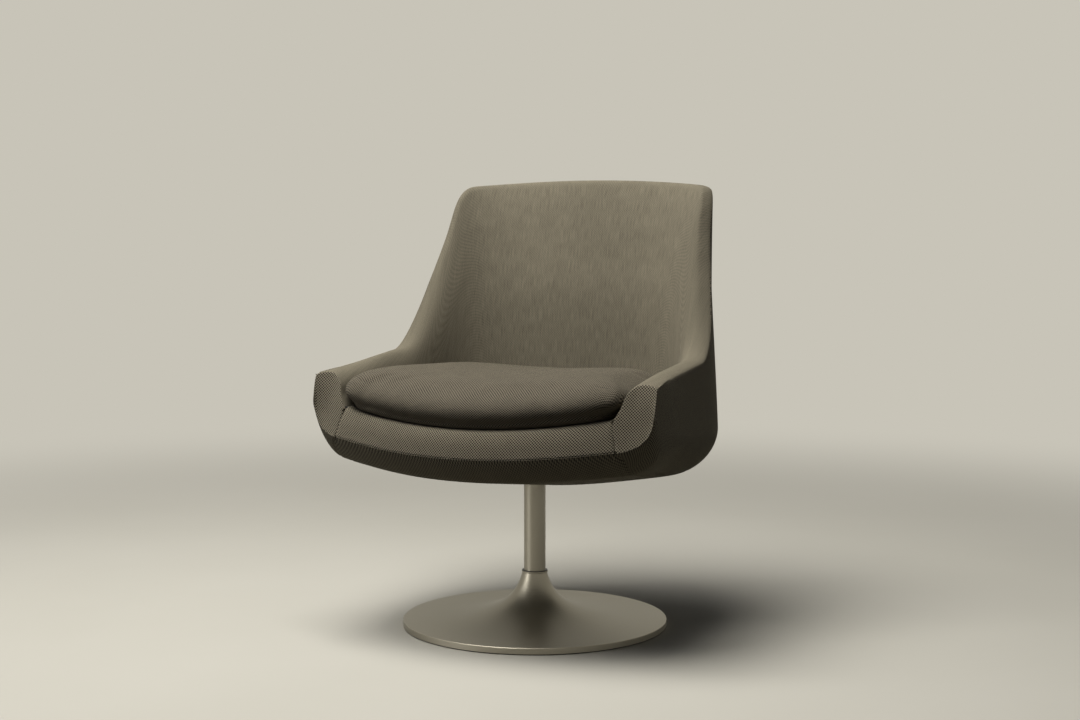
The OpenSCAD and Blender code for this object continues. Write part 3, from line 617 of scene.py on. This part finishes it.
def cushion_net():
    """Columns round the edge, from the middle of the underside out and over to the middle of the top."""
    xs = np.concatenate([np.linspace(0, 200, 41)[:-1], np.linspace(200, CUSHION_HALF_W, 34)])
    half = [[x, cushion_front(x)] for x in xs]
    y0 = cushion_front(CUSHION_HALF_W) + 4
    for v in np.linspace(0, 1, 56)[1:]:
        half.append([CUSHION_HALF_W - CUSHION_TAPER * v, lerp(y0, 0, v)])
    for q in np.linspace(0, 90, 70)[1:]:
        half.append(list(squared(CUSHION_HALF_W - CUSHION_TAPER, WELL_REAR - CUSHION_GAP, RIM_POW, q)))
    half = np.array(half)
    edge = np.concatenate([half, half[1:-1][::-1] * [-1, 1]])
    rows = [(k, CUSHION_BORDER * h + 0.9) for k, h in LOW_ROWS]
    for k in TOP_SHARES:
        up = 1 - k ** CUSHION_FULL
        rise = clamp((1 - k) / 0.05)
        rows.append((k, CUSHION_BORDER * lerp(0.66, 1.0, np.sqrt(1 - (1 - rise) ** 2)) + CUSHION_CROWN * up))
    grid = np.array([[[e[0] * k, e[1] * k, deck(e[0] * k, e[1] * k) + h] for k, h in rows] for e in edge])
    smoothed(np.swapaxes(grid[:, EDGE_ROWS], 0, 1), 8)
    return grid


def slim_cushion():
    """The cushion as a closed mesh, drawn slimmer but for its underside."""
    grid = cushion_net()
    n = len(grid)
    v = np.concatenate([grid[:, 1:-1].reshape(-1, 3), grid[0, :1], grid[0, -1:]])
    ring, low, top = numbered(grid[:, 1:-1]), len(v) - 2, len(v) - 1
    caps = [[ring[j, 0], ring[(j + 1) % n, 0], low, low] for j in range(n)]
    caps += [[ring[(j + 1) % n, -1], ring[j, -1], top, top] for j in range(n)]
    f = np.concatenate([faces_of(ring, True), caps])
    outward = point_normals(v, f)
    if outward[-1, 2] < 0:
        outward = -outward
    return make_piece("cushion_slim", v - outward * SLACK * np.clip(outward[:, [2]] + 1, 0, 1), f)


def simulated(even, before):
    """Points of an even closed mesh after a short cloth simulation with pressure, pinned near the deck."""
    scene = bpy.context.scene
    work = bpy.data.objects.new("swelling", even)
    scene.collection.objects.link(work)
    q = before / MM
    pins = work.vertex_groups.new(name="pins")
    pins.add(np.where(q[:, 2] < deck(q[:, 0], q[:, 1]) + PINNED)[0].tolist(), 1.0, "REPLACE")
    cloth = work.modifiers.new("cloth", "CLOTH")
    cloth.settings.use_pressure, cloth.settings.uniform_pressure_force = True, PRESSURE
    cloth.settings.effector_weights.gravity = 0
    cloth.settings.vertex_group_mass = "pins"
    cloth.settings.quality = 5
    cloth.collision_settings.use_collision = False
    cloth.point_cache.frame_start, cloth.point_cache.frame_end = 1, FRAMES
    for frame_no in range(1, FRAMES + 1):
        scene.frame_set(frame_no)
    after = points_of(evaluated(work).to_mesh())
    scene.frame_set(1)
    bpy.data.objects.remove(work)
    return after


def swollen(ob):
    """Points and quads of a closed pad filled by simulation, each point moved by MOST_MOVE at most."""
    mod = ob.modifiers.new("even", "REMESH")
    mod.mode, mod.voxel_size, mod.adaptivity = "VOXEL", VOXEL, 0.0
    even = bpy.data.meshes.new_from_object(evaluated(ob))
    bpy.data.objects.remove(ob)
    before = points_of(even)
    after = before
    step = simulated(even, before) - before
    length = np.linalg.norm(step, axis=1, keepdims=True)
    after = before + step * np.minimum(1, MOST_MOVE * MM / np.maximum(length, 1e-9))
    faces = np.array([list(q.vertices) + list(q.vertices)[-1:] * (4 - len(q.vertices)) for q in even.polygons])
    return after / MM, faces


def finer(v, f):
    """One round of smooth subdivision."""
    ob = make_piece("finer", v, f)
    ob.modifiers.new("finer", "SUBSURF").levels = 1
    me = bpy.data.meshes.new_from_object(evaluated(ob))
    bpy.data.objects.remove(ob)
    return points_of(me) / MM, np.array([list(q.vertices) for q in me.polygons])


def cushion_limit(p):
    """Keeps the points inside the drawn outline, a little further out at the front, and above the deck."""
    front = bow(p[:, 0]) + FACE_LEAN * CUSHION_NOSE - CUSHION_OVERHANG - FRONT_MORE
    half = np.abs(p[:, 0])
    p[:, 1] = np.maximum(p[:, 1], front)
    wide = np.where(p[:, 1] < 0, CUSHION_HALF_W + 1.0 - CUSHION_TAPER * clamp((p[:, 1] + 240) / 240),
                    CUSHION_HALF_W + 1.0 - CUSHION_TAPER)
    p[:, 0] = np.clip(p[:, 0], -wide, wide)
    p[:, 2] = np.maximum(p[:, 2], deck(p[:, 0], p[:, 1]) + 0.8)
    rear = ((half / (CUSHION_HALF_W - CUSHION_TAPER + 1)) ** RIM_POW
            + (np.maximum(p[:, 1], 0) / (WELL_REAR - 2)) ** RIM_POW)
    k = np.where((p[:, 1] > 0) & (rear > 1), rear ** (-1 / RIM_POW), 1.0)
    p[:, :2] *= k[:, None]
    return p


def cushion_folds(p, normals):
    """Shallow folds that run in from the corners, and slow waves over the top."""
    move = np.zeros_like(p)
    up_side = np.where(normals[:, 2] > 0.05)[0]
    for k, (x, y, dx, dy, size, depth) in enumerate(FOLDS):
        t = np.linspace(0, 1, 24)[:, None]
        line = np.array([x, y]) + np.array([dx, dy]) * t + np.array([-dy, dx]) * 0.07 * np.sin(t * 5 + k)
        d, where = line_distance(np.c_[p[up_side, :2], np.zeros(len(up_side))], np.c_[line, np.zeros(len(line))])
        fold = -depth * np.exp(-(d / size) ** 2) + 0.55 * depth * np.exp(-((d - 2.2 * size) / (1.4 * size)) ** 2)
        ease = np.sin(np.pi * clamp(where / math.hypot(dx, dy)) ** 0.6)
        move[up_side] += normals[up_side] * (fold * ease)[:, None]
    p = p + move
    p += normals * (0.35 * waves(p[:, 0] + 0.4 * p[:, 1], 31, [61.0, 97.0]) * waves(p[:, 1], 32, [73.0, 118.0])
                    * smooth((normals[:, 2] + 0.2) / 0.6))[:, None]
    return p


def cushion_weave(p):
    """The weave runs over the top, round the nose of the front and on under it."""
    nose = cushion_front(np.abs(p[:, 0])) + NOSE_R
    height = p[:, 2] - deck(p[:, 0], p[:, 1]) - 0.6 * CUSHION_BORDER
    ahead = nose - p[:, 1]
    front_v = np.where(ahead > 0, nose - NOSE_R * np.arctan2(ahead, height),
                       np.where(height > 0, p[:, 1], nose - np.pi * NOSE_R + ahead))
    drop = p[:, 2].max() - p[:, 2]
    rear_v = p[:, 1] + drop * clamp(p[:, 1] / 60)
    return np.stack([p[:, 0], np.where(p[:, 1] < 0, front_v, rear_v)], 1) * MM


cushion, cushion_f = finer(*swollen(slim_cushion()))
cushion = cushion_limit(cushion)
# the front ends fill the corners behind the arm fronts
cushion[:, 0] += np.sign(cushion[:, 0]) * CORNER_FILL * (
    smooth((np.abs(cushion[:, 0]) - 200) / 55) * smooth((-cushion[:, 1] - 110) / 90)
    * smooth((cushion[:, 2] - deck(cushion[:, 0], cushion[:, 1]) - 8) / 18))
cushion = cushion_folds(cushion, point_normals(cushion, cushion_f))
seat_cushion = make_piece("seat_cushion_soft", cushion, cushion_f, cushion_weave(cushion)[cushion_f])
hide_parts("seat_cushion")

for ob in (tub_cover, inner_cover, front_rail, decking, seat_cushion):
    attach(ob, "seat")


# Materials
class Net:
    """Short hand for building node trees."""

    def __init__(self, tree):
        self.t = tree

    def node(self, kind, **values):
        n = self.t.nodes.new(kind)
        for k, v in values.items():
            setattr(n, k, v)
        return n

    def link(self, a, b):
        self.t.links.new(a, b)

    def put(self, socket, value):
        if isinstance(value, bpy.types.NodeSocket):
            self.link(value, socket)
        else:
            socket.default_value = value

    def math(self, op, a, b=0.0, clamp_it=False):
        n = self.node("ShaderNodeMath", operation=op, use_clamp=clamp_it)
        self.put(n.inputs[0], a)
        self.put(n.inputs[1], b)
        return n.outputs[0]

    def add(self, a, b, clamp_it=False):
        return self.math("ADD", a, b, clamp_it)

    def times(self, a, b):
        return self.math("MULTIPLY", a, b)

    def split(self, vector):
        n = self.node("ShaderNodeSeparateXYZ")
        self.link(vector, n.inputs[0])
        return n.outputs

    def stretched(self, vector, scale):
        n = self.node("ShaderNodeMapping")
        n.inputs["Scale"].default_value = scale
        self.link(vector, n.inputs["Vector"])
        return n.outputs[0]

    def noise(self, vector, scale, detail=3.0, rough=0.5):
        n = self.node("ShaderNodeTexNoise")
        n.inputs["Scale"].default_value = scale
        n.inputs["Detail"].default_value = detail
        n.inputs["Roughness"].default_value = rough
        self.link(vector, n.inputs["Vector"])
        return n.outputs["Fac"]

    def mix(self, fac, a, b):
        n = self.node("ShaderNodeMix", data_type="RGBA")
        for k, value in ((0, fac), (6, a), (7, b)):
            self.put(n.inputs[k], value)
        return n.outputs[2]

    def bump(self, height, distance, strength=1.0, normal=None):
        n = self.node("ShaderNodeBump")
        n.inputs["Distance"].default_value = distance
        n.inputs["Strength"].default_value = strength
        self.link(height, n.inputs["Height"])
        if normal is not None:
            self.link(normal, n.inputs["Normal"])
        return n.outputs[0]

    def position(self):
        return self.node("ShaderNodeTexCoord").outputs["Object"]

    def any_of(self, *rays):
        """1 for the named kinds of ray."""
        path = self.node("ShaderNodeLightPath")
        total = path.outputs[rays[0]]
        for r in rays[1:]:
            total = self.math("MAXIMUM", total, path.outputs[r])
        return total


def srgb(r, g, b):
    c = [x / 255 for x in (r, g, b)]
    return tuple(x / 12.92 if x <= 0.04045 else ((x + 0.055) / 1.055) ** 2.4 for x in c) + (1.0,)


def new_material(name):
    """A material, its builder, its shader and its output node."""
    m = bpy.data.materials.new(name)
    m.use_nodes = True
    m.node_tree.nodes.clear()
    n = Net(m.node_tree)
    out, s = n.node("ShaderNodeOutputMaterial"), n.node("ShaderNodeBsdfPrincipled")
    n.link(s.outputs[0], out.inputs[0])
    return m, n, s, out


WEAVE_CELL = 0.0025
# shares of the fabric's parts in its tone
FLECK, THREAD, SLUB, WORN = 0.5, 0.3, 0.22, 0.16


def fabric(name, light, dark, check, ribs):
    """A two-tone basket weave with long ribs along its second direction."""
    m, n, s, _ = new_material(name)
    uv = n.node("ShaderNodeUVMap", uv_map="weave").outputs[0]
    place = n.split(uv)
    wob = n.times(n.noise(uv, 22.0, 2.0), 0.5)
    u, v = (n.add(n.times(place[k], 1 / WEAVE_CELL), wob) for k in (0, 1))
    su, sv = (n.math("SINE", n.times(k, math.pi)) for k in (u, v))
    step = n.add(n.times(n.times(su, sv), 4.0), 0.5, clamp_it=True)
    down = n.node("ShaderNodeMapRange", interpolation_type="SMOOTHSTEP")
    n.link(n.split(n.node("ShaderNodeNewGeometry").outputs["Normal"])[2], down.inputs["Value"])
    for k, level in enumerate((-0.75, -0.1, 0.3 * check, check)):
        down.inputs[k + 1].default_value = level
    # two threads within each cell, crosswise in the dark cells
    tu, tv = (n.math("ABSOLUTE", n.math("SINE", n.times(k, math.pi * 2))) for k in (u, v))
    thread = n.add(n.times(tu, step), n.times(tv, n.math("SUBTRACT", 1.0, step)))
    rib = n.noise(n.stretched(uv, (1.0, 0.05, 1.0)), 640.0, 2.0, 0.6)
    fleck = n.noise(uv, 900.0, 2.0, 0.6)
    slub = n.noise(uv, 30.0, 4.0, 0.6)
    worn = n.noise(n.position(), 5.0, 3.0, 0.5)
    tone = n.add(0.5, n.times(n.math("SUBTRACT", step, 0.5), down.outputs[0]))
    for part, share in ((rib, ribs * 4), (fleck, FLECK), (thread, THREAD), (slub, SLUB), (worn, WORN)):
        tone = n.add(tone, n.times(n.math("SUBTRACT", part, 0.5), share))
    tone = n.add(tone, 0.0, clamp_it=True)
    n.link(n.mix(tone, dark, light), s.inputs["Base Color"])
    n.link(n.add(0.8, n.times(fleck, 0.16)), s.inputs["Roughness"])
    s.inputs["Specular IOR Level"].default_value = 0.2
    s.inputs["Sheen Weight"].default_value = 0.12
    s.inputs["Sheen Roughness"].default_value = 0.5
    s.inputs["Sheen Tint"].default_value = srgb(150, 145, 130)
    fine = n.bump(n.add(n.times(thread, 0.7), n.times(fleck, 0.4)), 0.0005, 0.5)
    n.link(n.bump(slub, 0.001, 0.3, fine), s.inputs["Normal"])
    return m


def ring_grain(n, pos):
    """Fine grain in rings about the vertical axis."""
    x, y, z = n.split(pos)
    place = n.node("ShaderNodeCombineXYZ")
    n.link(n.math("SQRT", n.add(n.math("POWER", x, 2.0), n.math("POWER", y, 2.0))), place.inputs[0])
    n.link(z, place.inputs[1])
    n.link(n.times(n.math("ARCTAN2", y, x), 0.004), place.inputs[2])
    return n.noise(place.outputs[0], 900.0, 4.0, 0.65)


def metal(name, base, rough, spread, brushed=0.0, metallic=1.0):
    """Metal with a fine grain, which lies in rings where the metal is brushed."""
    m, n, s, _ = new_material(name)
    pos = n.position()
    grain = ring_grain(n, pos) if brushed else n.noise(pos, 400.0, 3.0, 0.6)
    mixed = n.add(n.times(grain, 0.6), n.times(n.noise(pos, 14.0, 3.0, 0.5), 0.4))
    dark = tuple(c * 0.78 for c in base[:3]) + (1.0,)
    n.link(n.mix(mixed, dark, base), s.inputs["Base Color"])
    n.link(n.add(rough - spread / 2, n.times(mixed, spread)), s.inputs["Roughness"])
    s.inputs["Metallic"].default_value = metallic
    if brushed:
        s.inputs["Anisotropic"].default_value = brushed
        s.inputs["Anisotropic Rotation"].default_value = 0.25
        tangent = n.node("ShaderNodeTangent", direction_type="RADIAL", axis="Z")
        n.link(tangent.outputs[0], s.inputs["Tangent"])
    n.link(n.bump(grain, 0.00012, 0.5), s.inputs["Normal"])
    return m


def wood(name, light, dark):
    """Wood with its grain along x."""
    m, n, s, _ = new_material(name)
    grain = n.noise(n.stretched(n.position(), (6.0, 60.0, 200.0)), 3.0, 5.0, 0.6)
    n.link(n.mix(grain, dark, light), s.inputs["Base Color"])
    n.link(n.add(0.5, n.times(grain, 0.25)), s.inputs["Roughness"])
    n.link(n.bump(grain, 0.0004, 0.4), s.inputs["Normal"])
    return m


def plain(name, light, dark, rough, scale=60.0, depth=0.0003, sheen=0.0):
    """A mottled material with no direction."""
    m, n, s, _ = new_material(name)
    pos = n.position()
    coarse, fine = n.noise(pos, scale, 4.0, 0.6), n.noise(pos, scale * 14, 2.0, 0.6)
    tone = n.add(n.times(coarse, 0.55), n.times(fine, 0.45))
    n.link(n.mix(tone, dark, light), s.inputs["Base Color"])
    n.link(n.add(rough - 0.08, n.times(tone, 0.16)), s.inputs["Roughness"])
    n.link(n.bump(fine, depth, 0.6), s.inputs["Normal"])
    s.inputs["Sheen Weight"].default_value = sheen
    return m


weave = fabric("hopsack", srgb(131, 124, 107), srgb(7, 6, 4), check=1.15, ribs=0.08)
weave_back = fabric("hopsack_back", srgb(134, 127, 109), srgb(28, 26, 21), check=0.16, ribs=0.16)
# the cushion's hopsack is the same weave made darker, as painted shade for the cushion top lying in the shade of the
# back and arms
weave_top_painted_shade = fabric("cushion_hopsack_painted_shade", srgb(105, 98, 84), srgb(7, 6, 4), check=0.95, ribs=0.08)
black_cloth = plain("decking_black", srgb(30, 29, 28), srgb(14, 14, 13), 0.9, 300.0)
spun = metal("spun_aluminium_brushed", srgb(158, 153, 140), 0.45, 0.18, brushed=0.3)
steel = metal("zinc_steel", srgb(170, 170, 168), 0.35, 0.15)
dark_steel = metal("black_steel", srgb(38, 38, 39), 0.5, 0.15, metallic=0.6)
cast = metal("cast_iron", srgb(58, 58, 60), 0.7, 0.15, metallic=0.7)
collar = plain("collar_plastic", srgb(26, 25, 24), srgb(12, 12, 11), 0.42)
shell = plain("shell_plastic", srgb(200, 194, 178), srgb(180, 174, 158), 0.5)
bush = plain("bush_plastic", srgb(235, 232, 222), srgb(214, 210, 198), 0.4)
felt = plain("felt_black", srgb(46, 44, 42), srgb(20, 20, 19), 0.95, 400.0, 0.0006, 0.4)
foam = plain("foam_cream", srgb(226, 214, 170), srgb(200, 186, 140), 0.9, 250.0, 0.0008)
ply = wood("birch_plywood", srgb(214, 182, 138), srgb(168, 130, 86))

# materials of the solids, the weave for the rest
solid_materials = {
    "floor_pad": felt, "ballast_plate": cast, "trumpet_foot": spun, "column_tube": spun, "neck_collar": collar,
    "column_plug": steel, "tie_bolt": steel, "tie_washer": steel, "upper_bush": bush, "lower_bush": bush,
    "thrust_washer": steel, "spindle": steel, "retaining_ring": steel, "seat_plate": dark_steel,
    "seat_bolts": steel, "bolt_washers": steel, "t_nuts": steel, "mount_board": ply, "tub_shell": shell,
    "inner_foam": foam, "deck_foam": foam}
for name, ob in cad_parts.items():
    slots = ob.data.materials
    if not slots:
        slots.append(None)
    for k in range(len(slots)):
        slots[k] = solid_materials.get(name, weave)
# the seat cushion takes the darker copy of the weave, whose lower brightness is painted shade
for ob, mat in ((tub_cover, weave), (inner_cover, weave_back), (front_rail, weave), (decking, black_cloth),
                (seat_cushion, weave_top_painted_shade)):
    ob.data.materials.append(mat)

# Room: a pale floor that keeps the shadow, a pale background, one large soft key light and a weak fill
BACKGROUND = srgb(200, 196, 184)
FLOOR_SIZE, FLOOR_NEAR, FLOOR_FAR = 60.0, 0.9, 3.4
FILL_COLOUR, FILL_STRENGTH = (0.95, 0.96, 1.0, 1), 0.04
SEEN = ("Is Camera Ray", "Is Glossy Ray", "Is Transmission Ray")


def floor_material():
    """Pale floor that keeps the shadow near the chair and runs out into the background's colour."""
    m, n, s, out = new_material("studio_floor")
    pos = n.position()
    cloud = n.noise(pos, 1.6, 4.0, 0.5)
    seen = n.any_of(*SEEN)
    pale = n.mix(cloud, srgb(172, 170, 161), srgb(180, 178, 170))
    n.link(n.mix(seen, srgb(74, 71, 62), pale), s.inputs["Base Color"])
    n.link(n.add(0.82, n.times(cloud, 0.1)), s.inputs["Roughness"])
    s.inputs["Specular IOR Level"].default_value = 0.1
    n.link(n.bump(n.noise(pos, 60.0, 3.0), 0.0003, 0.3), s.inputs["Normal"])
    away = n.node("ShaderNodeVectorMath", operation="LENGTH")
    n.link(pos, away.inputs[0])
    far = n.node("ShaderNodeMapRange", interpolation_type="SMOOTHERSTEP")
    n.link(away.outputs["Value"], far.inputs["Value"])
    far.inputs["From Min"].default_value, far.inputs["From Max"].default_value = FLOOR_NEAR, FLOOR_FAR
    glow = n.node("ShaderNodeEmission")
    glow.inputs[0].default_value = BACKGROUND
    glow.inputs[1].default_value = 1.0
    blend = n.node("ShaderNodeMixShader")
    n.link(n.times(far.outputs[0], seen), blend.inputs[0])
    n.link(s.outputs[0], blend.inputs[1])
    n.link(glow.outputs[0], blend.inputs[2])
    n.link(blend.outputs[0], out.inputs[0])
    return m


def staged_floor():
    me = bpy.data.meshes.new("studio_floor")
    s = FLOOR_SIZE / 2
    me.from_pydata([(-s, -s, 0), (s, -s, 0), (s, s, 0), (-s, s, 0)], [], [(0, 1, 2, 3)])
    me.materials.append(floor_material())
    ob = bpy.data.objects.new("studio_floor", me)
    scene.collection.objects.link(ob)


def studio_world():
    """A weak even fill, and the background's colour where it is seen."""
    world = bpy.data.worlds.new("studio")
    world.use_nodes = True
    world.node_tree.nodes.clear()
    n = Net(world.node_tree)
    blend, out = n.node("ShaderNodeMixShader"), n.node("ShaderNodeOutputWorld")
    n.link(n.any_of(*SEEN), blend.inputs[0])
    for k, (colour, strength) in enumerate(((FILL_COLOUR, FILL_STRENGTH), (BACKGROUND, 1.0))):
        light = n.node("ShaderNodeBackground")
        light.inputs[0].default_value, light.inputs[1].default_value = colour, strength
        n.link(light.outputs[0], blend.inputs[k + 1])
    n.link(blend.outputs[0], out.inputs[0])
    return world


def area_light(name, at, aim, size, power, colour):
    d = bpy.data.lights.new(name, "AREA")
    d.shape = "RECTANGLE"
    d.size, d.size_y = size
    d.energy = power
    d.color = colour
    ob = bpy.data.objects.new(name, d)
    ob.location = at
    ob.rotation_euler = (Vector(aim) - Vector(at)).to_track_quat("-Z", "Y").to_euler()
    scene.collection.objects.link(ob)
    return ob


def camera(at, lens, heading, tilt):
    """A camera that looks along a heading in plan, and down by tilt degrees."""
    cam = bpy.data.cameras.new("camera")
    cam.lens, cam.sensor_width, cam.sensor_fit = lens, 36.0, "HORIZONTAL"
    cam.clip_start, cam.clip_end = 0.05, 60
    ob = bpy.data.objects.new("camera", cam)
    scene.collection.objects.link(ob)
    ob.location = at
    tilt = math.radians(tilt)
    look = Vector((heading[0] * math.cos(tilt), heading[1] * math.cos(tilt), -math.sin(tilt)))
    ob.rotation_euler = look.to_track_quat("-Z", "Y").to_euler()
    return ob


scene = bpy.context.scene
staged_floor()
scene.world = studio_world()
area_light("key", (-0.6, -0.72, 3.3), (0, 0, 0.5), (2.0, 2.0), 190, (1.0, 0.975, 0.93))
area_light("window", (-2.9, -1.7, 1.3), (0, 0, 0.3), (0.35, 2.0), 8, (1.0, 0.99, 0.97))
strip = area_light("strip", (-2.0, -2.25, 1.1), (0, 0, 0.2), (0.3, 1.7), 26, (1.0, 0.99, 0.97))
strip.visible_diffuse = False
area_light("fill", (3.2, -2.2, 1.8), (0, 0, 0.5), (2.5, 2.0), 1.4, (0.95, 0.97, 1.0))
scene.camera = camera((1.35807, -2.98424, 0.76245), 59.5, (-0.41151, 0.91140), 4.7)
scene.view_settings.view_transform = "Standard"
